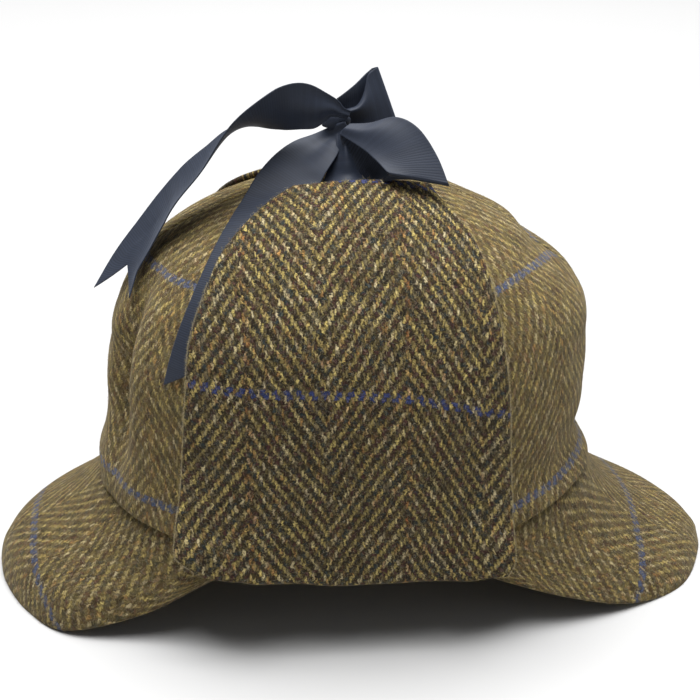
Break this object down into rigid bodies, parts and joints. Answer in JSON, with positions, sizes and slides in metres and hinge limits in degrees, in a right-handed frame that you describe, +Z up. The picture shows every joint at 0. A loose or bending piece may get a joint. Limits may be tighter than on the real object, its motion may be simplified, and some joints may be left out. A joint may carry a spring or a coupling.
{
  "type": "deerstalker hat",
  "caption": "Herringbone tweed deerstalker hat with a front and a back peak and ear flaps tied up over the crown with a grosgrain ribbon bow.",
  "frame": {"origin": "middle of the bounding box, on the plane that both peaks rest on", "axes": "+Z up, X along the hat from the front peak (-X) to the back peak (+X), Y from the near ear flap (-Y) to the far ear flap (+Y)"},
  "size_m": [0.3352, 0.1744, 0.228],
  "materials": {
    "tweed": "woollen herringbone tweed, olive and dark brown, with a blue and rust overcheck",
    "grosgrain": "charcoal navy grosgrain ribbon, finely ribbed, soft sheen"
  },
  "bodies": {
    "root": {"crown_panel_1": "tweed", "crown_panel_2": "tweed", "crown_panel_3": "tweed", "crown_panel_4": "tweed", "crown_panel_5": "tweed", "crown_panel_6": "tweed", "front_peak": "tweed", "back_peak": "tweed", "near_ear_flap": "tweed", "far_ear_flap": "tweed", "near_flap_ribbon": "grosgrain", "far_flap_ribbon": "grosgrain", "bow_knot": "grosgrain", "bow_loop_upper": "grosgrain", "bow_loop_side": "grosgrain", "ribbon_tail_long": "grosgrain", "ribbon_tail_short": "grosgrain"}
  },
  "joints": []
}
